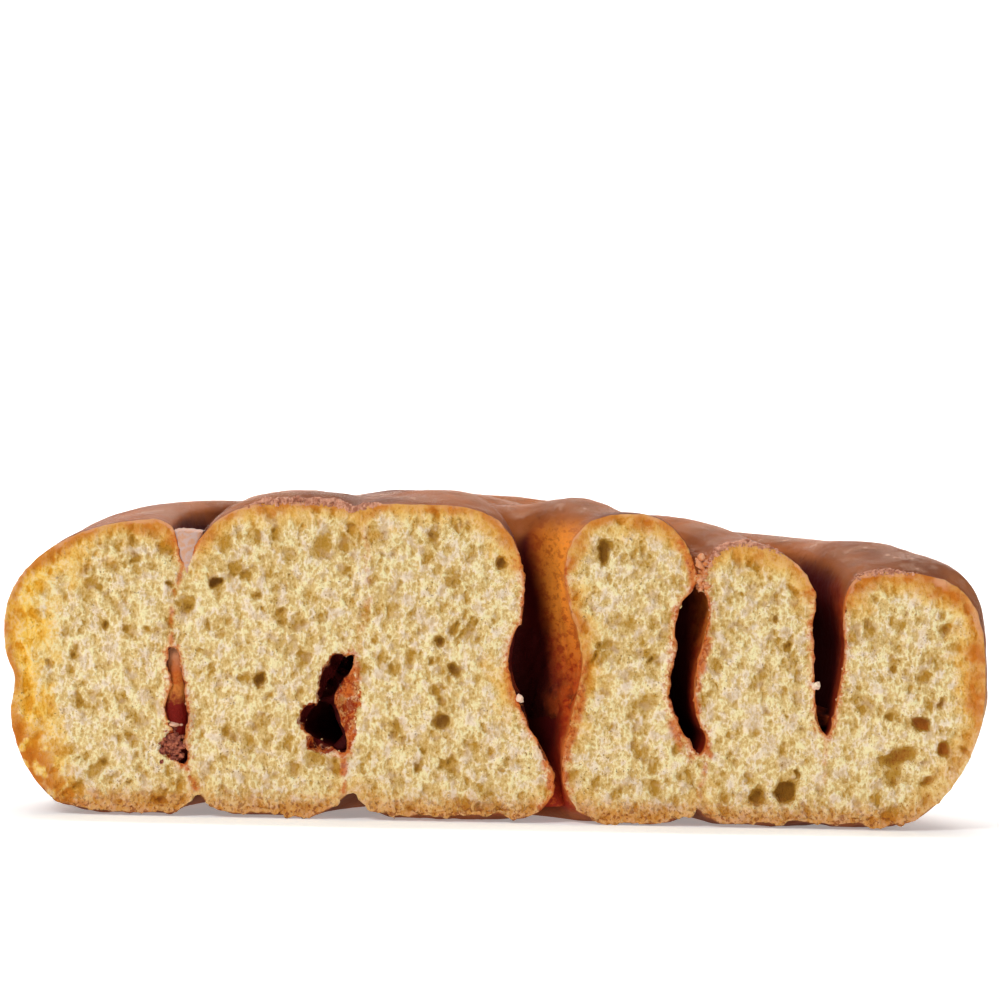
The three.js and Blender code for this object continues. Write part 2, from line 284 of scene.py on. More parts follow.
class CrumbsSettings(bpy.types.PropertyGroup):
    """Loose crumbs and flakes."""
    crumbs: count("Crumbs", "Number of crumbs on the edges of the cut", 45)
    flakes: count("Flakes", "Number of flakes of glaze on the top edge", 4000)


class StageSettings(bpy.types.PropertyGroup):
    """Camera, floor and lights."""
    distance: FloatProperty(name="Distance", description="Camera to cut", unit="LENGTH", default=0.7)
    azimuth: FloatProperty(name="Azimuth", description="Camera's turn to the left", subtype="ANGLE",
                           default=math.radians(-4))
    elevation: FloatProperty(name="Elevation", description="Camera's height as an angle", subtype="ANGLE",
                             default=math.radians(2.2))
    floor: colour("Floor", "Colour of the floor", 246, 246, 245)


class Doughnut(bpy.types.PropertyGroup):
    """All settings of the doughnut."""
    crumb: PointerProperty(type=CrumbSettings)
    crust: PointerProperty(type=CrustSettings)
    cinnamon: PointerProperty(type=CinnamonSettings)
    glaze: PointerProperty(type=GlazeSettings)
    crumbs: PointerProperty(type=CrumbsSettings)
    stage: PointerProperty(type=StageSettings)


# Shader maths

class Shade:
    """A socket of a material's node tree. Arithmetic on it adds Math nodes."""

    def __init__(self, finish, socket):
        self.finish = finish
        self.socket = socket

    def math(self, operation, *others):
        inputs = dict(enumerate((self, *others)))
        return self.finish.node("ShaderNodeMath", {"operation": operation}, inputs)[0]

    def __add__(self, other):
        return self.math("ADD", other)

    def __sub__(self, other):
        return self.math("SUBTRACT", other)

    def __rsub__(self, other):
        return self.finish.node("ShaderNodeMath", {"operation": "SUBTRACT"}, {0: other, 1: self})[0]

    def __mul__(self, other):
        return self.math("MULTIPLY", other)

    def __truediv__(self, other):
        return self.math("DIVIDE", other)

    __radd__ = __add__
    __rmul__ = __mul__

    def smooth(self, low, high):
        """0 at low, 1 at high and a smooth step between. Low may be above high."""
        settings = {"interpolation_type": "SMOOTHSTEP"}
        ends = (low, high, 0.0, 1.0) if low < high else (high, low, 1.0, 0.0)
        return self.finish.node("ShaderNodeMapRange", settings, dict(enumerate((self, *ends))))[0]


class Finish:
    """A material, the Principled shader that is being set up, and the one method that adds nodes."""

    def __init__(self, name):
        """Starts with the new material's own Principled shader."""
        self.material = bpy.data.materials.new(name)
        self.material.use_nodes = True
        self.tree = self.material.node_tree
        self.shader = self.tree.nodes["Principled BSDF"]

    def node(self, kind, settings=None, inputs=None):
        """Adds a node, sets it up, and returns its outputs as a list of Shades."""
        node = self.tree.nodes.new(kind)
        for key, value in (settings or {}).items():
            setattr(node, key, value)
        for key, value in (inputs or {}).items():
            self.feed(node.inputs[key], value)
        return [Shade(self, output) for output in node.outputs]

    def feed(self, socket, value):
        if isinstance(value, Shade):
            self.tree.links.new(value.socket, socket)
        elif hasattr(value, "__len__") and len(value) == 3 and len(socket.default_value) == 4:
            socket.default_value = (*value, 1.0)
        else:
            socket.default_value = value

    def set(self, **sockets):
        """Feeds the Principled shader's sockets, named with underscores."""
        for key, value in sockets.items():
            self.feed(self.shader.inputs[key.replace("_", " ")], value)

    def cover(self, share):
        """Lays a second Principled shader over the first by a share, and sets that one from here on."""
        first = Shade(self, self.shader.outputs[0])
        second = self.node("ShaderNodeBsdfPrincipled")[0]
        both = self.node("ShaderNodeMixShader", {}, {0: share, 1: first, 2: second})[0]
        self.feed(self.tree.nodes["Material Output"].inputs["Surface"], both)
        self.shader = second.socket.node

    def attribute(self, name):
        return self.node("ShaderNodeAttribute", {"attribute_name": name})[2]

    def place(self):
        """Object coordinates."""
        return self.node("ShaderNodeTexCoord")[3]

    def axes(self):
        return self.node("ShaderNodeSeparateXYZ", {}, {0: self.place()})

    def stretched(self, size):
        """Object coordinates divided by a size, or by three sizes, in metres."""
        sizes = size if hasattr(size, "__len__") else (size,) * 3
        inputs = {"Vector": self.place(), "Scale": tuple(1 / s for s in sizes)}
        return self.node("ShaderNodeMapping", {}, inputs)[0]

    def noise(self, size, detail=2.0, roughness=0.5):
        """Noise from 0 to 1 with features of a size."""
        inputs = {"Vector": self.stretched(size), "Scale": 1.0, "Detail": detail, "Roughness": roughness}
        return self.node("ShaderNodeTexNoise", {}, inputs)[0]

    def cells(self, size, drift, drift_size):
        """Cells of a size whose outlines drift: the distance to the nearest wall, and a number for each."""
        inputs = {"Vector": self.stretched(drift_size), "Scale": 1.0, "Detail": 2.0}
        sway = self.node("ShaderNodeTexNoise", {}, inputs)[1]
        scaled = {0: sway, 1: (drift,) * 3, 2: self.stretched(size)}
        where = self.node("ShaderNodeVectorMath", {"operation": "MULTIPLY_ADD"}, scaled)[0]
        inputs = {"Vector": where, "Scale": 1.0}
        wall = self.node("ShaderNodeTexVoronoi", {"feature": "DISTANCE_TO_EDGE"}, inputs)[0]
        tint = self.node("ShaderNodeTexVoronoi", {"feature": "F1"}, inputs)[1]
        return wall, self.node("ShaderNodeSeparateColor", {}, {0: tint})[0]

    def mix(self, first, second, share):
        """A colour between two colours."""
        return self.node("ShaderNodeMix", {"data_type": "RGBA"}, {"Factor": share, 6: first, 7: second})[2]

    def tint(self, first, second, share):
        """A colour times another, by a share."""
        settings = {"data_type": "RGBA", "blend_type": "MULTIPLY"}
        return self.node("ShaderNodeMix", settings, {"Factor": share, 6: first, 7: second})[2]

    def bump(self, height, strength, distance):
        inputs = {"Height": height, "Strength": strength, "Distance": distance}
        return self.node("ShaderNodeBump", {}, inputs)[0]


# Meshes

def new_object(name, mesh):
    obj = bpy.data.objects.new(name, mesh)
    bpy.context.scene.collection.objects.link(obj)
    return obj


def object_from(bm, name):
    mesh = bpy.data.meshes.new(name)
    bm.to_mesh(mesh)
    bm.free()
    return new_object(name, mesh)


def apply_modifier(obj, kind, **settings):
    """Adds a modifier and bakes it into the object's mesh."""
    modifier = obj.modifiers.new(kind, kind)
    for key, value in settings.items():
        setattr(modifier, key, value)
    made = bpy.data.meshes.new_from_object(obj.evaluated_get(bpy.context.evaluated_depsgraph_get()))
    obj.modifiers.clear()
    old = obj.data
    obj.data = made
    made.name = obj.name
    bpy.data.meshes.remove(old)


def remove(obj):
    mesh = obj.data
    bpy.data.objects.remove(obj)
    bpy.data.meshes.remove(mesh)


def points_of(mesh):
    points = np.empty(len(mesh.vertices) * 3, np.float32)
    mesh.vertices.foreach_get("co", points)
    return points.reshape(-1, 3).astype(float)


def normals_of(mesh):
    normals = np.empty(len(mesh.vertices) * 3, np.float32)
    mesh.vertex_normals.foreach_get("vector", normals)
    return normals.reshape(-1, 3).astype(float)


def set_points(mesh, points):
    mesh.vertices.foreach_set("co", points.astype(np.float32).ravel())
    mesh.update()


def set_attribute(mesh, name, values):
    attribute = mesh.attributes.new(name, "FLOAT", "POINT")
    attribute.data.foreach_set("value", np.asarray(values, np.float32))


def read_attribute(mesh, name):
    values = np.empty(len(mesh.vertices), np.float32)
    mesh.attributes[name].data.foreach_get("value", values)
    return values


def edges_of(mesh):
    edges = np.empty(len(mesh.edges) * 2, np.int32)
    mesh.edges.foreach_get("vertices", edges)
    return edges.reshape(-1, 2)


def spread(values, edges, rounds, keep=None):
    """Values averaged with their neighbours' along the edges, some rounds, except where keep is set."""
    for _ in range(rounds):
        total = values.copy()
        members = np.ones(len(values))
        np.add.at(total, edges[:, 0], values[edges[:, 1]])
        np.add.at(total, edges[:, 1], values[edges[:, 0]])
        np.add.at(members, edges.ravel(), 1)
        new = total / members
        values = new if keep is None else np.where(keep, values, new)
    return values


def tree_of(points):
    tree = KDTree(len(points))
    for i, p in enumerate(points):
        tree.insert(p, i)
    tree.balance()
    return tree


def surface_of(mesh):
    return BVHTree.FromPolygons([v.co for v in mesh.vertices], [p.vertices for p in mesh.polygons])


def below_ridge(points, reach):
    """How far each point lies under the highest point within a reach of it, seen from above."""
    cell = 2 * MM
    span = math.ceil(reach / cell)
    index = ((points[:, :2] - points[:, :2].min(axis=0)) / cell).astype(int) + span
    highest = np.zeros(index.max(axis=0) + span + 1)
    np.maximum.at(highest, tuple(index.T), points[:, 2])
    ridge = highest
    for du in range(-span, span + 1):
        for dv in range(-span, span + 1):
            ridge = np.maximum(ridge, np.roll(highest, (du, dv), axis=(0, 1)))
    return ridge[tuple(index.T)] - points[:, 2]


def waves(points, size, octaves=3, seed=0.0):
    """Fractal noise from about -1 to 1 at each point, with features of a size."""
    shift = Vector((seed, seed * 1.7, seed * 2.3))
    return np.array([noise.fractal(Vector(p) / size + shift, 1.0, 2.0, octaves) for p in points])


def smoothstep(low, high, x):
    t = np.clip((x - low) / (high - low), 0, 1)
    return t * t * (3 - 2 * t)


def dress(obj, finish, slot, *nodes):
    """Gives a finished piece its material, and its place in the frame."""
    obj.data.shade_smooth()
    obj.data.materials.clear()
    obj.data.materials.append(finish)
    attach(obj, "root")
    if nodes:
        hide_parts(*nodes)


# The dough

class CutField:
    """How deep the crumb's bubbles go, on a raster over the cut, in millimetres from the eye."""

    STEP = 0.1

    def __init__(self, seed):
        self.low = np.array([(CAD_LOW.x - EYE_X) / MM - 1, -1.0])
        high = np.array([(CAD_HIGH.x - EYE_X) / MM + 1, CAD_HIGH.z / MM + 1])
        self.shape = tuple(int(v) for v in np.ceil((high - self.low) / self.STEP))
        self.random = np.random.default_rng(seed)
        self.depth = np.zeros(self.shape)
        self.warp = [0.55 * self.value_noise(0.9) + 0.3 * self.value_noise(0.4) for _ in range(2)]
        x, z = (low + np.arange(n) * self.STEP for low, n in zip(self.low, self.shape))
        x, z = np.meshgrid(x, z, indexing="ij")
        sheared = x + 2.2 * self.value_noise(9)
        for middle_x, middle_z, reach, slope in SLANTS:
            near = np.exp(-((x - middle_x) ** 2 + (z - middle_z) ** 2) / reach ** 2)
            sheared -= slope * near * (z - middle_z)
        self.across = sheared + 0.5 * self.warp[0]
        self.upward = z + 1.2 * self.value_noise(7) + 0.5 * self.warp[1]

    def value_noise(self, size):
        """Smooth noise from -1 to 1 over the raster, with features of a size."""
        cells = [int(n * self.STEP / size) + 3 for n in self.shape]
        grid = self.random.uniform(-1, 1, cells)
        u, v = (np.arange(n) * self.STEP / size for n in self.shape)
        iu, iv = u.astype(int), v.astype(int)
        fu, fv = (t * t * (3 - 2 * t) for t in (u - iu, v - iv))
        left = grid[np.ix_(iu, iv)] * (1 - fv) + grid[np.ix_(iu, iv + 1)] * fv
        right = grid[np.ix_(iu + 1, iv)] * (1 - fv) + grid[np.ix_(iu + 1, iv + 1)] * fv
        return left * (1 - fu[:, None]) + right * fu[:, None]

    def foam(self, wide, high, deep, share):
        """Sinks a share of the cells of a foam, each with a bubble of its own depth."""
        u, v = self.across / wide, self.upward / high
        u, v = u - u.min() + 1, v - v.min() + 1
        iu, iv = u.astype(int), v.astype(int)
        seeds = self.random.uniform(0, 1, (iu.max() + 2, iv.max() + 2, 3))
        first, second = np.full((2, *self.shape), 9.0)
        chance = np.zeros(self.shape)
        for du in (-1, 0, 1):
            for dv in (-1, 0, 1):
                seed = seeds[iu + du, iv + dv]
                off = np.hypot(iu + du + seed[..., 0] - u, iv + dv + seed[..., 1] - v)
                nearer = off < first
                second = np.where(nearer, first, np.minimum(second, off))
                first = np.where(nearer, off, first)
                chance = np.where(nearer, seed[..., 2], chance)
        opened = np.clip((chance - 1 + share) / share, 0, 1)
        bowl = np.clip(1 - (first / 0.75) ** 2, 0, 1) * smoothstep(0, 0.35, second - first)
        self.depth += deep * np.where(opened > 0, 0.25 + 0.75 * opened, 0) * bowl

    def index(self, x, z):
        i = ((np.array([x, z]) - self.low) / self.STEP).astype(int)
        return tuple(np.clip(i, 0, np.array(self.shape) - 1))

    def stamp(self, x, z, wide, long, deep, slant, ragged=0.45):
        """Sinks one bubble with its middle at a place. It is long along its slant from upright."""
        reach = max(wide, long) / 2 + ragged
        i0, j0 = self.index(x - reach, z - reach)
        i1, j1 = self.index(x + reach, z + reach)
        window = np.s_[i0:i1 + 1, j0:j1 + 1]
        u = self.low[0] + np.arange(i0, i1 + 1)[:, None] * self.STEP - x + ragged * self.warp[0][window]
        v = self.low[1] + np.arange(j0, j1 + 1)[None, :] * self.STEP - z + ragged * self.warp[1][window]
        across = (u * math.cos(slant) - v * math.sin(slant)) / (wide / 2)
        along = (u * math.sin(slant) + v * math.cos(slant)) / (long / 2)
        hollow = deep * np.clip(1 - across ** 2 - along ** 2, 0, None) ** 0.45
        self.depth[window] = np.maximum(self.depth[window], hollow)

    def at(self, points):
        """The depth at points, read between the raster's."""
        t = np.clip((points - self.low) / self.STEP, 0, np.array(self.shape) - 1.001)
        i = t.astype(int)
        u, v = (t - i).T
        corner = [self.depth[i[:, 0] + a, i[:, 1] + b] for a in (0, 1) for b in (0, 1)]
        return (corner[0] * (1 - v) + corner[1] * v) * (1 - u) + (corner[2] * (1 - v) + corner[3] * v) * u


def on_cut_at(x, z):
    """A place on the cut, from millimetres from the eye before the lean."""
    return Vector((EYE_X + (x - LEAN * z) * MM, CUT_Y, z * MM))


def merged_copy(node):
    """A CAD node's mesh as a bmesh, with its loose triangles joined."""
    bm = bmesh.new()
    bm.from_mesh(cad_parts[node].data)
    bmesh.ops.remove_doubles(bm, verts=bm.verts, dist=MERGE)
    return bm


def dough_body(name, voxel):
    """The dough's solid with its bubbles filled, drawn forward past the cut, remeshed evenly and smoothed."""
    forward = 3 * MM
    spare = 0.5
    deep = 2.4
    bm = merged_copy("dough")
    cut = [f for f in bm.faces if all(v.co.y < CUT_Y + ON_CUT for v in f.verts)]
    drawn = bmesh.ops.extrude_face_region(bm, geom=cut)["geom"]
    front = [g for g in drawn if isinstance(g, bmesh.types.BMVert)]
    bmesh.ops.translate(bm, verts=front, vec=(0, -forward, 0))
    for x, z, wide, long, _, _ in LISTED_BUBBLES:
        size = Matrix.Diagonal((wide / 2 + spare, deep, long / 2 + spare, 1)) @ Matrix.Scale(MM, 4)
        bmesh.ops.create_icosphere(bm, subdivisions=2, radius=1,
                                   matrix=Matrix.Translation(on_cut_at(x, z)) @ size)
    body = object_from(bm, name)
    apply_modifier(body, "REMESH", mode="VOXEL", voxel_size=voxel, use_smooth_shade=True)
    apply_modifier(body, "SMOOTH", factor=0.5, iterations=4)
    points = points_of(body.data)
    rise = np.zeros(len(points))
    for x, back, z, reach, high in SWELLINGS:
        middle = on_cut_at(x, z) + Vector((0, back * MM, 0))
        rise += high * np.exp(-(np.linalg.norm(points - middle, axis=1) / (reach * MM)) ** 2)
    rise *= smoothstep(0.2, 3.5, (points[:, 1] - CUT_Y) / MM)
    set_points(body.data, points + normals_of(body.data) * (rise * MM)[:, None])
    return body


def knife(step):
    """A closed wedge that ends in the cut's plane, with a fine grid of points there."""
    margin = 4 * MM
    apex = 80 * MM
    wide = CAD_HIGH.x - CAD_LOW.x + 2 * margin
    high = CAD_HIGH.z + 2 * margin
    middle = Vector(((CAD_LOW.x + CAD_HIGH.x) / 2, CUT_Y, CAD_HIGH.z / 2))
    upright = Matrix.Rotation(math.pi / 2, 4, "X")
    bm = bmesh.new()
    bmesh.ops.create_grid(bm, x_segments=round(wide / step), y_segments=round(high / step), size=0.5,
                          matrix=Matrix.Translation(middle) @ upright @ Matrix.Diagonal((wide, high, 1, 1)))
    draw = random.Random(5)
    for v in bm.verts:
        if not v.is_boundary:
            v.co.x += draw.uniform(-JITTER, JITTER) * step
            v.co.z += draw.uniform(-JITTER, JITTER) * step
    made = bmesh.ops.extrude_edge_only(bm, edges=[e for e in bm.edges if e.is_boundary])["geom"]
    tip = [g for g in made if isinstance(g, bmesh.types.BMVert)]
    bmesh.ops.pointmerge(bm, verts=tip, merge_co=middle - Vector((0, apex, 0)))
    bmesh.ops.recalc_face_normals(bm, faces=bm.faces)
    return object_from(bm, "knife")


def thin_out(body, most):
    """Fewer points far from the cut, down to a number of triangles."""
    mesh = body.data
    triangles = sum(len(p.vertices) - 2 for p in mesh.polygons)
    if triangles <= most:
        return
    far = body.vertex_groups.new(name="far")
    weights = smoothstep(5, 14, (points_of(mesh)[:, 1] - CUT_Y) / MM)
    for i in np.flatnonzero(weights):
        far.add([int(i)], float(weights[i]), "REPLACE")
    apply_modifier(body, "DECIMATE", ratio=most / triangles, vertex_group="far", vertex_group_factor=1.0)
    body.vertex_groups.clear()


def closed_in(mesh, points, normals, reach):
    """How much of each point's outlook meets the mesh again within a reach, from 0 to 1."""
    tree = surface_of(mesh)
    lift = 0.4 * MM
    values = np.zeros(len(points))
    for i, (p, n) in enumerate(zip(points, normals)):
        normal = Vector(n)
        side = normal.orthogonal().normalized()
        other = normal.cross(side)
        start = Vector(p) + normal * lift
        looks = [normal] + [(normal + 0.8 * s).normalized() for s in (side, -side, other, -other)]
        values[i] = sum(tree.ray_cast(start, look, reach)[0] is not None for look in looks) / len(looks)
    return values


def rim_of(mesh, on_cut):
    """The points of the cut that the crust shares."""
    starts = np.empty(len(mesh.polygons), np.int32)
    mesh.polygons.foreach_get("loop_start", starts)
    corners = np.empty(len(mesh.loops), np.int32)
    mesh.loops.foreach_get("vertex_index", corners)
    totals = np.diff(np.append(starts, len(corners)))
    flat = np.add.reduceat(on_cut[corners].astype(int), starts) == totals
    rim = np.zeros(len(on_cut), bool)
    rim[corners[~np.repeat(flat, totals)]] = True
    return rim & on_cut


def seam_strength(flat):
    """How near each place on the cut is to a fused seam, from 0 to 1."""
    best = np.zeros(len(flat))
    for strength, wide, line in SEAMS:
        line = [np.array((x - LEAN * z, z)) for x, z in line]
        for a, b in zip(line, line[1:]):
            t = np.clip(((flat - a) @ (b - a)) / ((b - a) @ (b - a)), 0, 1)
            off = np.linalg.norm(flat - a - t[:, None] * (b - a), axis=1)
            best = np.maximum(best, strength * np.exp(-(off / wide) ** 2))
    return best


def gaps_of(mesh, points, on_cut, rim):
    """How far each point of the crust, and of the cut's rim, is inside a gap between turns."""
    reach = 9 * MM
    beside = 4 * MM
    neighbours = 6
    crust = ~on_cut
    gap = np.zeros(len(points))
    gap[crust] = closed_in(mesh, points[crust], normals_of(mesh)[crust], reach)
    edges = edges_of(mesh)
    gap = spread(gap, edges[crust[edges].all(axis=1)], 3)
    near = np.flatnonzero(crust & (points[:, 1] < CUT_Y + beside))
    tree = tree_of(points[near])
    for i in np.flatnonzero(rim):
        gap[i] = np.mean([gap[near[k]] for _, k, _ in tree.find_n(points[i], neighbours)])
    return gap


def distances(points, on_cut, members):
    """How far each point of the cut is from the nearest of some members, in millimetres. 0 off the cut."""
    tree = tree_of(points[members])
    values = np.zeros(len(points))
    values[on_cut] = [tree.find(p)[2] / MM for p in points[on_cut]]
    return values


def hollow_at(points):
    """How deep the hollows beside the gaps are at each point, seen from the front, in millimetres."""
    field = CutField(9)
    for x, z, *size in HOLLOWS:
        field.stamp(x - LEAN * z, z, *size)
    return field.at(np.column_stack([(points[:, 0] - EYE_X) / MM, points[:, 2] / MM]))


def shape_dough(body, wrinkle):
    """Sinks the bubbles, tears the rim, wrinkles the crust, and notes for the finish what each point is."""
    mesh = body.data
    points = points_of(mesh)
    normals = normals_of(mesh)
    on_cut = np.abs(points[:, 1] - CUT_Y) < ON_CUT
    rim = rim_of(mesh, on_cut)
    gap = gaps_of(mesh, points, on_cut, rim)
    in_gap = gap >= 0.3
    to_outer = distances(points, on_cut, rim & ~in_gap)
    to_gap = distances(points, on_cut, rim & in_gap)
    from_crust = np.minimum(to_outer, to_gap)

    field = CutField(3)
    for level in FOAM:
        field.foam(*level)
    for x, z, *size in LISTED_BUBBLES:
        field.stamp(x - LEAN * z, z, *size)
    flat = np.column_stack([(points[:, 0] - EYE_X) / MM, points[:, 2] / MM])
    inside = smoothstep(0.05, 0.9, from_crust)
    pore = np.where(on_cut, field.at(flat) * inside, 0)
    hollow = hollow_at(points)
    back = (points[:, 1] - CUT_Y) / MM
    uneven = np.zeros(len(points))
    uneven[on_cut] = 0.25 * waves(points[on_cut], 9 * MM, 3, 4.0)
    uneven[on_cut] += 0.1 * waves(points[on_cut], 1.4 * MM, 2, 7.0)

    low = smoothstep(5, 1, flat[:, 1])
    near = np.where(on_cut, np.clip(1 - from_crust / 1.6, 0, 1), 0)
    torn = near * (0.12 + 0.45 * np.maximum(gap, low))
    moved = points.copy()
    moved[:, 1] += np.where(on_cut, pore + uneven * inside, 0) * MM
    moved[:, 1] += np.maximum(hollow - back / 3, 0) * MM
    ragged = near > 0
    moved[ragged, 0] += torn[ragged] * waves(points[ragged], 1.3 * MM, 3, 21.0) * MM
    moved[ragged, 2] += torn[ragged] * waves(points[ragged], 1.3 * MM, 3, 33.0) * MM
    foot = smoothstep(1.6, 0, flat[:, 1]) * smoothstep(5, 0, back)
    footed = foot > 0
    moved[footed, 2] += foot[footed] * (0.55 + 0.7 * waves(points[footed], 4 * MM, 4, 13.0)) * MM
    skin = ~on_cut & (points[:, 2] > 0.6 * MM)
    rise = 0.7 * waves(points[skin], 9 * MM, 2, 2.0) + 0.35 * waves(points[skin], 2.6 * MM, 2, 9.0)
    rise *= wrinkle * smoothstep(0, 2.5, back[skin])
    moved[skin] += normals[skin] * rise[:, None]
    moved[:, 2] = np.maximum(moved[:, 2], 0)
    set_points(mesh, moved)

    notes = {"cut": on_cut, "rim": rim, "pore": pore, "hollow": hollow, "gap": gap, "to_outer": to_outer,
             "to_gap": to_gap, "seam": np.where(on_cut, seam_strength(flat), 0)}
    for name, values in notes.items():
        set_attribute(mesh, name, values)


def crumb_colour(f, crumb, crust, axes):
    """Cream strands round golden pits that darken with their depth, partly as painted shade, oily and browned
    near the crust, stained along the seams, and painted black as shade in deep hollows.
    """
    pore = f.attribute("pore")
    to_outer = f.attribute("to_outer")
    to_gap = f.attribute("to_gap")
    height = axes[2] / MM
    across = (axes[0] - EYE_X) / MM
    fine = f.noise((0.34 * MM, 0.34 * MM, 0.46 * MM), 2, 0.65)
    strand = f.noise((0.8 * MM, 0.8 * MM, 2.2 * MM), 3, 0.6)
    wall, chance = f.cells((0.7 * MM, 0.7 * MM, 1.1 * MM), 1.3, 0.9 * MM)
    cell = wall.smooth(0.0, 0.36) * (0.1 + chance * 0.9)
    hue = f.noise(1.5 * MM, 2)
    patch = f.noise(2.2 * MM, 2)
    ragged = f.noise(0.7 * MM, 3) - 0.5

    width = 0.6 + f.noise(5 * MM, 2).smooth(0.35, 0.65) * 0.7
    right = across.smooth(34, 40)
    near = to_outer / width + ragged * 1.1 - right * 0.5
    upper = height.smooth(6, 18)
    ends = across.smooth(-51, -63) + across.smooth(46, 55) * 0.5
    oily = (near - ends * 3 + (patch - 0.5) * 5).smooth(4.2, 0.2)
    oily = oily * (0.4 + upper * 0.5).math("MAXIMUM", ends)
    walls = f.mix(crumb.wall, crust.honey, oily * (0.3 + ends * 0.6))
    pits = f.mix(crumb.pit, crust.amber, oily * (0.4 + ends * 0.6))
    deeps = f.mix(crumb.deep, crust.fried, across.smooth(38, 48))

    # The pits' colours follow the bubbles' depth: partly the crumb's own golden tone, partly painted shade in
    # the bubbles.
    pitted = pore * 1.8 + cell * 0.6 + (fine - 0.5) * 2 + (strand - 0.5) * 1.5
    body = f.mix(walls, pits, pitted.smooth(0.2, 1.3))
    palest = f.mix(crumb.pale, crumb.green, hue.smooth(0.42, 0.58))
    body = f.mix(body, palest, pitted.smooth(0.45, -0.15) * (1 - oily * 0.6))
    body = f.mix(body, crumb.cool, hue.smooth(0.5, 0.3) * (0.5 - oily * 0.5))
    body = f.mix(body, pits, pore.smooth(0.25, 0.6) * 0.7)
    flecks = f.noise(0.3 * MM, 1).smooth(0.64, 0.73) * f.noise(4 * MM, 2).smooth(0.42, 0.6)
    # Painted shade: the deepest bubbles turn dark brown; the flecks are the crumb's own.
    body = f.mix(body, deeps, (pore + (fine - 0.5) * 0.7).smooth(0.5, 1.0) * 0.85 + flecks * 0.7)

    body = f.tint(body, crust.gold, oily * (1 - ends) * 0.6)
    blotchy = 0.45 + patch.smooth(0.4, 0.6) * 0.55 + right * 0.2
    browned = near.smooth(2.2, 0.5) * (0.15 + upper * 0.7) * blotchy
    corner = near.smooth(5, 0.8) * ends * height.smooth(17, 9) * patch.smooth(0.4, 0.52)
    body = f.mix(body, crust.rim, browned.math("MAXIMUM", corner))
    frost = f.noise(4 * MM, 2).smooth(0.4, 0.6) * height.smooth(20, 28)
    body = f.mix(body, crust.edge, near.smooth(0.5, 0.15) * (0.1 + frost * 0.75))

    specks = f.noise(0.45 * MM, 2).smooth(0.52, 0.62)
    foot = (height + ragged * 3).smooth(4.2, 0.8)
    body = f.mix(body, f.mix(crust.rim, crust.top, specks), foot * (0.5 + specks * 0.4))
    torn = (to_gap + ragged * 1.2).smooth(1.0, 0.1)
    body = f.mix(body, crust.torn_and_lit, torn * (0.3 + specks * 0.3))
    body = f.mix(body, crust.stain, specks * (to_gap + ragged).smooth(1.4, 0.2) * 0.5)
    soaked = f.mix(f.mix(crust.torn_and_lit, crust.stain, fine), crust.red, specks * 0.6)
    blotch = f.noise(1.2 * MM, 3).smooth(0.36, 0.58)
    body = f.mix(body, soaked, (f.attribute("seam") * (0.4 + blotch * 0.9)).smooth(0.1, 0.9) * 0.85)
    body = f.mix(body, soaked, (to_gap + ragged * 0.5).smooth(0.4, 0.05) * 0.8)
    hollow = f.attribute("hollow")
    hollow = hollow + ((fine - 0.5) * 1.4 + ragged * 1.8) * hollow.smooth(0, 0.3)
    body = f.mix(body, soaked, hollow.smooth(0.02, 0.3) * (0.4 + blotch * 0.6))
    soggy = (f.noise(1.6 * MM, 2) + fine - 0.5).smooth(0.45, 0.65)
    body = f.mix(body, crust.red, hollow.smooth(0.1, 0.5) * soggy * 0.8)
    # Painted shade: the deep hollows turn black.
    body = f.mix(body, crust.black, hollow.smooth(1.2, 2.0))
    return body, pitted


def wall_colour(f, crust, axes):
    """The gaps' walls: stained orange and red lower down, with painted light towards the top and by the cut,
    and painted shade, red then black, in the depth, on the left sides of the eye and the next gap, and in the
    left and outer gaps.
    """
    height = axes[2] / MM
    inward = (axes[1] - CUT_Y) / MM
    across = (axes[0] - EYE_X) / MM
    # Painted light: the walls turn to the bright glow colour towards the top, where light reaches into the
    # gaps.
    raised = (height + (f.noise(3 * MM, 3) - 0.5) * 9).smooth(15, 29)
    outer = across.smooth(22, 28)
    grain = f.noise((1.0 * MM, 3.0 * MM, 0.9 * MM), 4, 0.65)
    wall = f.mix(crust.red, crust.stain, height.smooth(6, 16))
    wall = f.mix(wall, crust.glow, raised * (1 - outer * 0.8))
    wall = f.mix(wall, crust.torn_and_lit, grain.smooth(0.5, 0.7) * 0.5)
    wall = f.mix(wall, crust.red, grain.smooth(0.54, 0.38) * (0.9 - raised * 0.4))
    uneven = f.noise(2 * MM, 3) - 0.5
    # Painted shade: the left and outer gaps, the left sides of the eye and of the gap right of it, and the
    # depth behind the cut darken the walls to red and then black.
    left = across.smooth(-18, -23)
    eye_shade = (across - (30 - height) * 0.2 + uneven * 2).smooth(0.0, -5.0) * across.smooth(-12, -8)
    next_shade = (across + uneven * 1.5).smooth(17.9, 15.4) * across.smooth(8, 12)
    shade = (eye_shade * height.smooth(5, 14) + next_shade) * 9
    reddened = across.smooth(10, 14) * across.smooth(24, 20) * 2.5
    depth = inward * 0.6 + (27 - height) * 0.12 + outer * 4 + left * 9 + shade + reddened
    depth = depth + uneven * 3
    wall = f.mix(wall, crust.red, depth.smooth(1, 6) * 0.7)
    wall = f.mix(wall, crust.black, depth.smooth(3, 9))
    # Painted light: within a millimetre of the cut the walls lighten towards the torn edges' colour, less on
    # the shaded left.
    edge = (inward + (grain - 0.5) * 1.5).smooth(1.0, 0.2) * (1 - left) * (1 - eye_shade * 0.6)
    return f.mix(wall, crust.torn_and_lit, edge * 0.7)


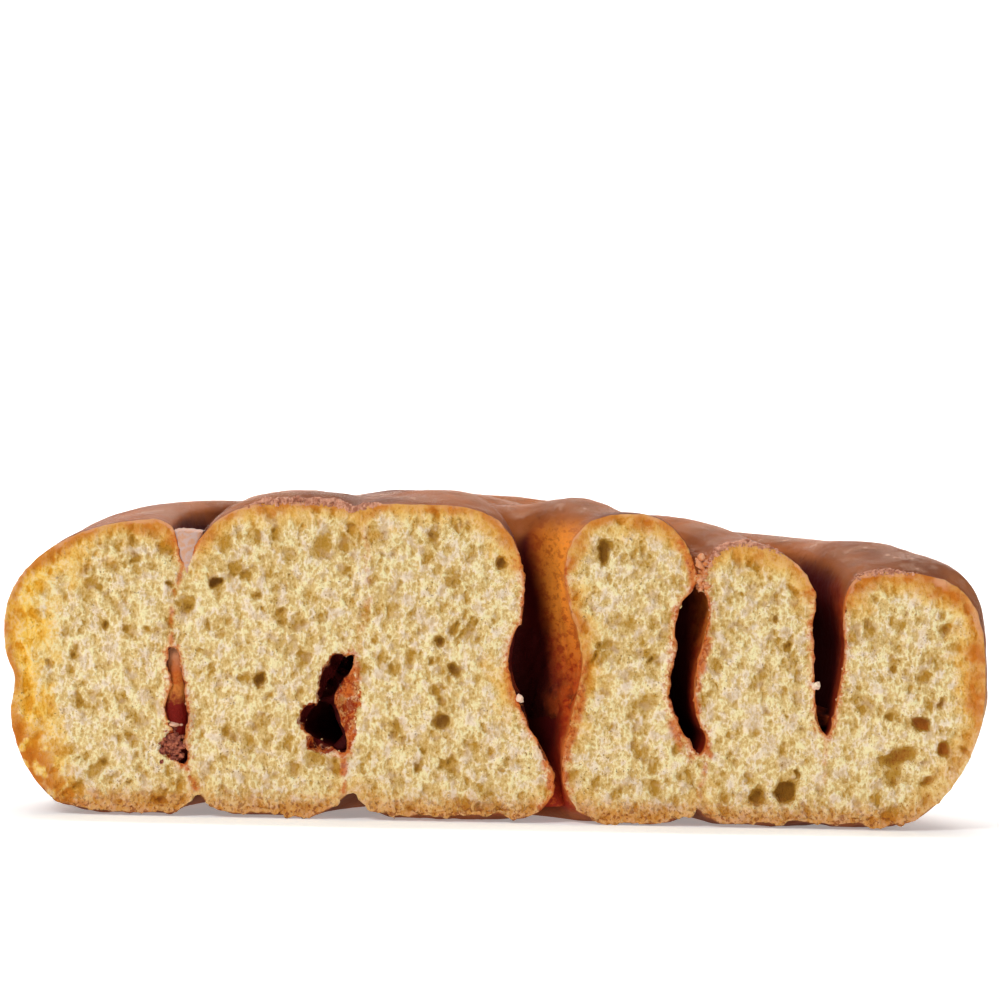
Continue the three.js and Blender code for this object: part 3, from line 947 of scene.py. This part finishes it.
def crust_colour(f, crust, axes):
    """Brown fried skin with a pale line round the side, and in the gaps and the eye the walls' stain with its
    painted light and shade.
    """
    gap = f.attribute("gap")
    height = axes[2] / MM
    skin = f.mix(crust.top, crust.dark, f.noise(14 * MM, 3).smooth(0.35, 0.7))
    skin = f.mix(skin, crust.rim, f.noise(6 * MM, 3).smooth(0.45, 0.75) * 0.2)
    skin = f.mix(skin, crust.dark, f.noise(1.1 * MM, 3).smooth(0.58, 0.74) * 0.5)
    open_side = gap.smooth(0.35, 0.1)
    from_belt = (height + (f.noise(9 * MM, 3) - 0.5) * 7 - 15).math("ABSOLUTE")
    skin = f.mix(skin, crust.toast, from_belt.smooth(9, 1.5) * open_side * 0.6)
    skin = f.mix(skin, crust.belt, from_belt.smooth(2.6, 0.2) * open_side * 0.55)
    side = (axes[0] - EYE_X) / MM
    inward = (axes[1] - CUT_Y) / MM
    # In the gaps and the eye the crust takes the walls' colours, with their painted light and shade.
    eye = (side * side + inward * inward).smooth(100, 49) * height.smooth(38, 34)
    stained_and_shaded = gap.smooth(0.25, 0.7).math("MAXIMUM", eye) * height.smooth(0.6, 2.4)
    return f.mix(skin, wall_colour(f, crust, axes), stained_and_shaded)


def dough_finish(crumb, crust):
    """Crumb on the cut and crust all round."""
    f = Finish("dough")
    axes = f.axes()
    soft = {"Specular_IOR_Level": 0.1, "Subsurface_Weight": 0.1, "Subsurface_Radius": (1.0, 0.55, 0.25),
            "Subsurface_Scale": 1.0 * MM}
    f.set(Base_Color=crust_colour(f, crust, axes), Roughness=0.68, **soft)
    f.set(Coat_Weight=f.attribute("gap").smooth(0.4, 0.1) * 0.08, Coat_Roughness=0.35)
    f.set(Normal=f.bump(f.noise(0.9 * MM, 4), 0.6, 0.2 * MM))
    f.cover(f.attribute("cut"))
    body, pitted = crumb_colour(f, crumb, crust, axes)
    f.set(Base_Color=body, Roughness=0.83, **soft)
    f.set(Normal=f.bump(0 - pitted, 0.6, 0.2 * MM))
    return f.material


class DOUGHNUT_OT_dough(bpy.types.Operator):
    """Build the dough with its crumb and crust"""
    bl_idname = "doughnut.dough"
    bl_label = "Dough"

    def execute(self, context):
        settings = context.scene.doughnut
        body = dough_body("crumb_and_crust", settings.crust.voxel)
        blade = knife(settings.crumb.step)
        apply_modifier(body, "BOOLEAN", operation="DIFFERENCE", solver="MANIFOLD", object=blade)
        remove(blade)
        thin_out(body, settings.crust.triangles)
        shape_dough(body, settings.crust.wrinkle)
        dress(body, dough_finish(settings.crumb, settings.crust), "dough", "dough")
        return {"FINISHED"}


# The cinnamon

def cinnamon_finish(cinnamon, crust):
    """Brown cinnamon with grains of sugar, darker in patches lower down, darkened inward and downward as
    painted shade, and like the gap walls beside it, with their painted light and shade, at the top and in the
    left gaps.
    """
    f = Finish("cinnamon")
    grain = f.noise(0.55 * MM, 3, 0.6)
    axes = f.axes()
    inward = (axes[1] - CUT_Y) / MM
    height = axes[2] / MM + (f.noise(3 * MM, 3) - 0.5) * 12
    dark = f.noise(2.2 * MM, 3).smooth(0.35, 0.65) * height.smooth(25, 17)
    body = f.mix(cinnamon.brown, cinnamon.dark, dark)
    body = f.mix(body, cinnamon.sugar, grain.smooth(0.56, 0.74) * 0.5)
    # Painted shade: darker inward from the cut and lower down.
    body = f.mix(body, cinnamon.dark, (inward * 0.8 + (24 - height) * 0.3).smooth(2.0, 9))
    # At the top and in the left gaps it takes the walls' colours, with their painted light and shade.
    beside = (axes[2] / MM).smooth(13, 20).math("MAXIMUM", ((axes[0] - EYE_X) / MM).smooth(-18, -23))
    body = f.mix(body, wall_colour(f, crust, axes), beside)
    f.set(Base_Color=body, Roughness=0.55 + grain * 0.3, Specular_IOR_Level=0.15)
    f.set(Normal=f.bump(grain, 0.7, 0.3 * MM))
    return f.material


def edge_share(points):
    """How far up its sheet each point is, counted from the nearer of the foot and the top, from 0 to 0.5."""
    bins = 60
    turn = np.arctan2(points[:, 1] - CUT_Y, points[:, 0] - EYE_X)
    sector = np.clip((turn / math.pi * bins).astype(int), 0, bins - 1)
    low = np.full(bins, np.inf)
    high = np.full(bins, -np.inf)
    np.minimum.at(low, sector, points[:, 2])
    np.maximum.at(high, sector, points[:, 2])
    share = (points[:, 2] - low[sector]) / np.maximum(high[sector] - low[sector], MM)
    return np.minimum(share, 1 - share)


def cinnamon_sheet(node, cinnamon, wall):
    """A sheet of cinnamon pressed onto the dough beside it, grainy and drawn back unevenly from the cut."""
    sheet = object_from(merged_copy(node), node + "_sugared")
    apply_modifier(sheet, "REMESH", mode="VOXEL", voxel_size=cinnamon.voxel, use_smooth_shade=True)
    points = points_of(sheet.data)
    grain = 0.8 * waves(points, 1.1 * MM, 2, 5.0) + 0.5 * waves(points, 0.5 * MM, 2, 8.0)
    thin = 1 - smoothstep(0.3, -0.05, edge_share(points) + 0.12 * waves(points, 2 * MM, 3, 15.0))
    stand = (cinnamon.stand + cinnamon.grain * grain) * (1.5 * thin - 0.5)
    for i, normal in enumerate(normals_of(sheet.data)):
        place, out, _, _ = wall.find_nearest(points[i])
        points[i] = place + out * (stand[i] if out.dot(Vector(normal)) > 0 else -cinnamon.stand)
    front = smoothstep(6, 0, (points[:, 1] - CUT_Y) / MM)
    drawn = 3.0 if "seam" in node else 1.0
    points[:, 1] += front * (drawn + 0.9 * waves(points, 2.5 * MM, 2, 3.0)) * MM
    points[:, 1] += np.maximum(hollow_at(points) - (points[:, 1] - CUT_Y) / MM / 3, 0) * MM
    set_points(sheet.data, points)
    apply_modifier(sheet, "SMOOTH", factor=0.5, iterations=1)
    return sheet


def syrup_finish(cinnamon, crust):
    """Thick syrup: dark red low down, and brown above."""
    f = Finish("syrup")
    grain = f.noise(0.5 * MM, 3, 0.6)
    height = f.axes()[2] / MM + (grain - 0.5) * 3
    body = f.mix(cinnamon.syrup, cinnamon.sugar, height.smooth(13.4, 15.8))
    body = f.mix(body, cinnamon.brown, height.smooth(15.5, 17) * (0.2 + grain))
    body = f.mix(body, crust.edge, height.smooth(17, 20.5) * 0.7)
    f.set(Base_Color=body, Roughness=0.5 + grain * 0.3, Specular_IOR_Level=0.15)
    f.set(Normal=f.bump(grain, 0.6, 0.3 * MM))
    return f.material


def stained_and_shaded_finish(crust):
    """Torn dough with cinnamon soaked into it, blackened towards its top as painted shade."""
    f = Finish("stained_and_shaded")
    grain = f.noise(0.5 * MM, 3, 0.6)
    height = f.axes()[2] / MM + (grain - 0.5) * 5
    body = f.mix(crust.red, crust.stain, grain.smooth(0.5, 0.7) * 0.7)
    # Painted shade: black towards the top, under the dark eye.
    body = f.mix(body, crust.black, height.smooth(4.5, 9))
    f.set(Base_Color=body, Roughness=0.7, Specular_IOR_Level=0.15)
    f.set(Normal=f.bump(grain, 0.6, 0.3 * MM))
    return f.material


def plug(name, x, z, wide, high, back, deep=2.5, level=None):
    """A lump that fills a gap, with an uneven front. With a level it is flat, and follows the turn."""
    size = Matrix.Diagonal((wide / 2, deep, high / 2, 1)) @ Matrix.Scale(MM, 4)
    place = on_cut_at(x, z) + Vector((0, (back + deep) * MM, 0))
    bm = bmesh.new()
    bmesh.ops.create_icosphere(bm, subdivisions=4, radius=1, matrix=Matrix.Translation(place) @ size)
    lump = object_from(bm, name)
    points = points_of(lump.data)
    points[:, 1] += 0.3 * waves(points, 0.9 * MM, 3, 11.0) * MM
    points[:, 2] = np.maximum(points[:, 2], FLOOR_GAP)
    if level:
        behind = 0.45 * MM
        foot = (z - high / 2) * MM
        points[:, 2] = np.minimum(points[:, 2], (level + 0.4 * waves(points, 2 * MM, 2, 19.0)) * MM)
        points[:, 1] = np.maximum(points[:, 1], CUT_Y + behind + 0.1 * (points[:, 1] - CUT_Y))
        points[:, 0] -= (points[:, 0] - place.x) * (1 - (points[:, 2] - foot) / (level * MM - foot))
        points[:, 0] -= (points[:, 1] - CUT_Y) ** 2 / (2 * x * MM)
    set_points(lump.data, points)
    return lump


class DOUGHNUT_OT_cinnamon(bpy.types.Operator):
    """Build the cinnamon between the turns"""
    bl_idname = "doughnut.cinnamon"
    bl_label = "Cinnamon"

    def execute(self, context):
        settings = context.scene.doughnut
        cinnamon = settings.cinnamon
        finish = cinnamon_finish(cinnamon, settings.crust)
        wall = surface_of(bpy.data.objects["crumb_and_crust"].data)
        for node in CINNAMON_NODES:
            dress(cinnamon_sheet(node, cinnamon, wall), finish, "cinnamon", node)
        draw = random.Random(17)
        x, z, wide, high, grains = SUGAR_LUMP
        places = [on_cut_at(x + draw.gauss(0, wide / 4), z + draw.gauss(0, high / 4))
                  + Vector((0, draw.uniform(0.1, 0.9) * MM, 0)) for _ in range(grains)]
        clot = lump_finish("clot", cinnamon.clot, cinnamon.clot_dark)
        dress(scatter("sugar_lump", places, GRAIN_SIZES, 19, 0.3), clot, "cinnamon")
        dress(plug("seam_syrup", *SYRUP), syrup_finish(cinnamon, settings.crust), "cinnamon")
        dress(plug("eye_foot", *EYE_FOOT), stained_and_shaded_finish(settings.crust), "cinnamon")
        skin = lump_finish("syrup_skin", settings.crust.edge, settings.glaze.frost)
        dress(plug("syrup_skin", *SYRUP_SKIN), skin, "cinnamon")
        return {"FINISHED"}


# The glaze

def glaze_finish(glaze):
    """A thin clear film that is whiter where it is thick or dry."""
    f = Finish("glaze")
    film = f.attribute("film")
    patchy = f.noise(5 * MM, 4)
    dry = f.noise((1.2 * MM, 1.2 * MM, 2.5 * MM), 3).smooth(0.5, 0.75)
    f.set(Base_Color=f.mix(glaze.film, glaze.frost, dry * 0.6))
    f.set(Alpha=film * (0.08 + patchy.smooth(0.42, 0.66) * 0.26 + dry * 0.2))
    f.set(Roughness=0.45 + dry * 0.25, Specular_IOR_Level=0.15)
    f.set(Normal=f.bump(patchy, 0.25, 0.4 * MM))
    return f.material


def glaze_film(mesh, wall):
    """How much glaze each point of the sheet has: none low down, by the cut, in a gap, or off the dough."""
    points = points_of(mesh)
    reach = 14 * MM
    ridge_reach = 8 * MM
    gap = spread(closed_in(mesh, points, normals_of(mesh), reach), edges_of(mesh), 3)
    sunk = smoothstep(1.0, 3.0, below_ridge(points, ridge_reach) / MM) * smoothstep(0.04, 0.2, gap)
    height = points[:, 2] / MM + 2.5 * waves(points, 10 * MM, 3, 6.0)
    in_eye = smoothstep(10, 7, np.hypot(points[:, 0] - EYE_X, points[:, 1] - CUT_Y) / MM)
    sunk = np.maximum(sunk, in_eye * smoothstep(39, 36, points[:, 2] / MM))
    off = np.array([wall.find_nearest(p)[3] for p in points]) / MM
    film = smoothstep(3, 8, height) * (1 - sunk) * smoothstep(1.2, 0.6, off)
    return smoothstep(0.3, 0.9, film * smoothstep(0.1, 1.0, (points[:, 1] - CUT_Y) / MM))


def glaze_sheet(glaze, wall):
    """The dough's skin drawn across its grooves, kept where glaze clings, and given a thickness."""
    sheet = dough_body("glaze", glaze.voxel)
    apply_modifier(sheet, "DISPLACE", strength=glaze.fill, mid_level=0.0)
    apply_modifier(sheet, "REMESH", mode="VOXEL", voxel_size=glaze.voxel, use_smooth_shade=True)
    apply_modifier(sheet, "DISPLACE", strength=glaze.stand - glaze.fill, mid_level=0.0)
    apply_modifier(sheet, "SMOOTH", factor=0.5, iterations=3)
    set_attribute(sheet.data, "film", glaze_film(sheet.data, wall))

    behind = 0.2 * MM
    least = 0.02
    bm = bmesh.new()
    bm.from_mesh(sheet.data)
    layer = bm.verts.layers.float["film"]
    bmesh.ops.bisect_plane(bm, geom=[*bm.verts, *bm.edges, *bm.faces], plane_co=(0, CUT_Y + behind, 0),
                           plane_no=(0, -1, 0), clear_outer=True)
    bare = [face for face in bm.faces if all(v[layer] < least for v in face.verts)]
    bmesh.ops.delete(bm, geom=bare, context="FACES")
    bm.to_mesh(sheet.data)
    bm.free()
    apply_modifier(sheet, "SOLIDIFY", thickness=glaze.thick, offset=-1.0, use_even_offset=False)
    return sheet


class DOUGHNUT_OT_glaze(bpy.types.Operator):
    """Build the glaze on the crust"""
    bl_idname = "doughnut.glaze"
    bl_label = "Glaze"

    def execute(self, context):
        settings = context.scene.doughnut
        glaze = settings.glaze
        wall = surface_of(bpy.data.objects["crumb_and_crust"].data)
        dress(glaze_sheet(glaze, wall), glaze_finish(glaze), "dough")
        pool = lump_finish("notch_pool", glaze.pool, glaze.film)
        dress(plug("notch_pool", *NOTCH_POOL), pool, "dough")
        return {"FINISHED"}


# Crumbs and flakes

def scatter(name, places, sizes, seed, rough=0.18):
    """Small irregular lumps, one at each place. They are made in batches, which is quicker."""
    draw = random.Random(seed)
    whole = bmesh.new()
    batch_size = 100
    for first in range(0, len(places), batch_size):
        bm = bmesh.new()
        for place in places[first:first + batch_size]:
            size = draw.uniform(*sizes) * MM
            turn = Euler([draw.uniform(0, math.tau) for _ in range(3)]).to_matrix().to_4x4()
            shape = Matrix.Diagonal([draw.uniform(0.5, 1.4) for _ in range(3)]).to_4x4()
            made = bmesh.ops.create_icosphere(bm, subdivisions=1, radius=size,
                                              matrix=Matrix.Translation(place) @ turn @ shape)
            for v in made["verts"]:
                v.co += Vector([draw.uniform(-rough, rough) * size for _ in range(3)])
        batch = bpy.data.meshes.new(name)
        bm.to_mesh(batch)
        bm.free()
        whole.from_mesh(batch)
        bpy.data.meshes.remove(batch)
    return object_from(whole, name)


def lump_finish(name, first, second):
    """Two colours in fine patches on a rough lump."""
    f = Finish(name)
    f.set(Base_Color=f.mix(first, second, f.noise(0.6 * MM, 2).smooth(0.35, 0.65)), Roughness=0.7)
    f.set(Normal=f.bump(f.noise(0.25 * MM, 2), 0.5, 0.1 * MM))
    return f.material


def frost_on(x, z):
    """How high dry flakes of glaze stack on the edge of the cut at a place in millimetres from the eye."""
    along = x + LEAN * z
    taper = 3
    return max(high * min(1, (along - low) / taper, (far - along) / taper) if z > foot else 0
               for low, far, foot, high in FROSTED)


class DOUGHNUT_OT_crumbs(bpy.types.Operator):
    """Build the crumbs and the flakes of glaze that cling to the edges of the cut"""
    bl_idname = "doughnut.crumbs"
    bl_label = "Crumbs"

    def execute(self, context):
        settings = context.scene.doughnut
        mesh = bpy.data.objects["crumb_and_crust"].data
        points = points_of(mesh)
        rim = read_attribute(mesh, "rim") > 0.5
        gap = read_attribute(mesh, "gap")
        draw = random.Random(23)
        foot = 2 * MM
        lowest = 0.4 * MM
        torn = points[rim & ((gap > 0.55) | (points[:, 2] < foot))]
        crumbs = [Vector(draw.choice(torn)) + Vector((0, draw.uniform(0.1, 0.5) * MM, 0))
                  for _ in range(settings.crumbs.crumbs)]
        crumbs = [p for p in crumbs if p.z > lowest]
        finish = lump_finish("loose_crumb", settings.crumb.wall, settings.crust.edge)
        dress(scatter("loose_crumbs", crumbs, CRUMB_SIZES, 29), finish, "dough")

        edge = [(Vector(p), frost_on((p[0] - EYE_X) / MM, p[2] / MM)) for p in points[rim & (gap < 0.5)]]
        edge = [(p, stack) for p, stack in edge if stack > 0]
        weights = [stack for _, stack in edge]
        flakes = []
        for p, stack in draw.choices(edge, weights, k=settings.crumbs.flakes):
            stack *= 0.6 + 0.8 * noise.noise(p / (1.1 * MM))
            aside = Vector((draw.gauss(0, 0.15), abs(draw.gauss(0, 0.6)), draw.uniform(-0.3, stack)))
            flakes.append(p + aside * MM)
        finish = lump_finish("flake", settings.glaze.flake, settings.glaze.flake_dark)
        dress(scatter("glaze_flakes", flakes, FLAKE_SIZES, 31, 0.4), finish, "dough")

        x, z, wide, high, number = BRIDGE
        bridge = [on_cut_at(x + draw.gauss(0, wide / 3), z + draw.uniform(-high, high) / 2)
                  + Vector((0, draw.uniform(-0.1, 0.9) * MM, 0)) for _ in range(number)]
        crumb = lump_finish("torn_crumb", settings.crust.edge, settings.crust.torn_and_lit)
        dress(scatter("torn_bridge", bridge, BRIDGE_SIZES, 41, 0.3), crumb, "dough")
        clots = [on_cut_at(x + draw.gauss(0, wide), z + draw.gauss(0, wide))
                 + Vector((0, draw.uniform(-0.2, 0.3) * MM, 0))
                 for x, z, wide in CLINGING for _ in range(CLINGING_EACH)]
        pale = lump_finish("pale_crumb", settings.glaze.frost, settings.crumb.pale)
        dress(scatter("clinging_crumbs", clots, CLINGING_SIZES, 37, 0.3), pale, "dough")
        return {"FINISHED"}


# The stage

def area_light(name, place, aim, size, watts):
    light = bpy.data.lights.new(name, "AREA")
    light.shape = "DISK"
    light.size = size
    light.energy = watts
    obj = bpy.data.objects.new(name, light)
    obj.location = place
    obj.rotation_euler = (Vector(aim) - Vector(place)).to_track_quat("-Z", "Y").to_euler()
    bpy.context.scene.collection.objects.link(obj)


def make_floor(tint):
    """A pale floor that bends up into a backdrop behind the object."""
    half, high, bend = 1.6, 1.6, 0.7
    bm = bmesh.new()
    bmesh.ops.create_grid(bm, x_segments=1, y_segments=1, size=half)
    back = [e for e in bm.edges if all(v.co.y > 0 for v in e.verts)]
    wall = bmesh.ops.extrude_edge_only(bm, edges=back)["geom"]
    bmesh.ops.translate(bm, verts=[g for g in wall if isinstance(g, bmesh.types.BMVert)], vec=(0, 0, high))
    bmesh.ops.bevel(bm, geom=back, offset=bend, segments=16, profile=0.5, affect="EDGES", material=-1)
    floor = object_from(bm, "floor")
    f = Finish("floor")
    f.set(Base_Color=tint, Roughness=0.8, Specular_IOR_Level=0.2, Emission_Color=tint, Emission_Strength=0.3)
    floor.data.materials.append(f.material)
    floor.data.shade_smooth()


def make_camera(stage):
    """The camera at the photograph's angle: the middle of its frame lies where it does on the cut."""
    slope = math.atan(BASE_SLOPE)
    dx, dy = (PHOTO_SIDE / 2 - p for p in EYE_FOOT_PX)
    aim_x = (dx * math.cos(slope) + dy * math.sin(slope)) / PIXELS_PER_MM * MM
    aim_z = (dx * math.sin(slope) - dy * math.cos(slope)) / PIXELS_PER_MM * MM
    aim = Vector((EYE_X + aim_x, CUT_Y, aim_z))
    turn, rise = stage.azimuth, stage.elevation
    back = Vector((math.sin(turn) * math.cos(rise), -math.cos(turn) * math.cos(rise), math.sin(rise)))
    camera = bpy.data.objects.new("camera", bpy.data.cameras.new("camera"))
    camera.location = aim + back * stage.distance
    look = (-back).to_track_quat("-Z", "Y").to_matrix().to_4x4()
    camera.rotation_euler = (look @ Matrix.Rotation(slope, 4, "Z")).to_euler()
    camera.data.sensor_width = SENSOR
    camera.data.lens = SENSOR * stage.distance / (PHOTO_SIDE / PIXELS_PER_MM * MM)
    camera.data.clip_start = 0.01
    bpy.context.scene.collection.objects.link(camera)
    bpy.context.scene.camera = camera


class DOUGHNUT_OT_stage(bpy.types.Operator):
    """Set up the floor, the lights and the camera"""
    bl_idname = "doughnut.stage"
    bl_label = "Stage"

    def execute(self, context):
        stage = context.scene.doughnut.stage
        make_floor(stage.floor)
        make_camera(stage)
        for light in LIGHTS:
            area_light(*light)
        world = bpy.data.worlds.new("studio")
        world.use_nodes = True
        background = world.node_tree.nodes["Background"]
        background.inputs["Color"].default_value = (1, 1, 1, 1)
        background.inputs["Strength"].default_value = WORLD_LIGHT
        context.scene.world = world
        context.scene.view_settings.view_transform = "Standard"
        return {"FINISHED"}


class DOUGHNUT_PT_build(bpy.types.Panel):
    """Buttons that build the doughnut"""
    bl_label = "Coiled Doughnut"
    bl_space_type = "VIEW_3D"
    bl_region_type = "UI"
    bl_category = "Doughnut"

    def draw(self, context):
        for operator in OPERATORS:
            self.layout.operator(operator.bl_idname)


SETTINGS = (CrumbSettings, CrustSettings, CinnamonSettings, GlazeSettings, CrumbsSettings, StageSettings,
            Doughnut)
OPERATORS = (DOUGHNUT_OT_dough, DOUGHNUT_OT_cinnamon, DOUGHNUT_OT_glaze, DOUGHNUT_OT_crumbs,
             DOUGHNUT_OT_stage)
CLASSES = (*SETTINGS, *OPERATORS, DOUGHNUT_PT_build)


def register():
    for cls in CLASSES:
        bpy.utils.register_class(cls)
    bpy.types.Scene.doughnut = PointerProperty(type=Doughnut)


def unregister():
    del bpy.types.Scene.doughnut
    for cls in reversed(CLASSES):
        bpy.utils.unregister_class(cls)


def main():
    register()
    bpy.ops.doughnut.dough()
    bpy.ops.doughnut.cinnamon()
    bpy.ops.doughnut.glaze()
    bpy.ops.doughnut.crumbs()
    bpy.ops.doughnut.stage()


if __name__ == "__main__":
    main()
